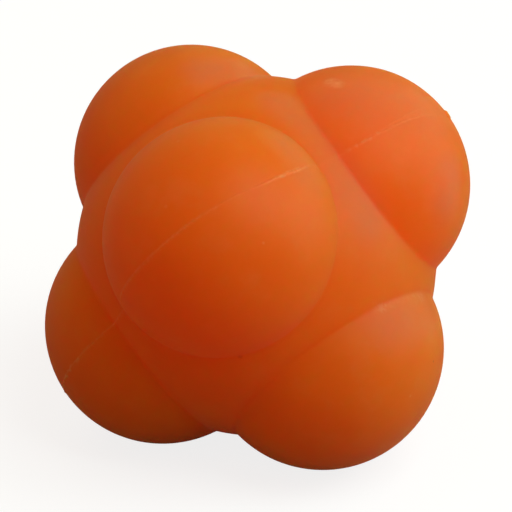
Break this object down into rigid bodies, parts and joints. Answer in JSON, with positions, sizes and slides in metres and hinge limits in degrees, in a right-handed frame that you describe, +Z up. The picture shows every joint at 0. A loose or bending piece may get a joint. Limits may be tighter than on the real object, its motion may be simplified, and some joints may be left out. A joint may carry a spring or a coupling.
{
  "type": "reaction ball",
  "caption": "Six-lobed orange silicone rubber reaction ball, moulded in one piece, that bounces in unforeseeable directions to train catching and reflexes.",
  "frame": {"origin": "the ball's centre, where the three lobe axes cross", "axes": "+Z up along the threefold axis, with the ball standing on three lobes; -Y is the side of the upper lobe that faces forward; the parting line's plane holds that lobe's axis and the upper right one's"},
  "size_m": [0.058, 0.0618, 0.0536],
  "materials": {
    "silicone": "smooth satin moulded silicone rubber, slightly dusty, with a trimmed parting line"
  },
  "bodies": {
    "root": {"ball_body": "silicone"}
  },
  "joints": []
}
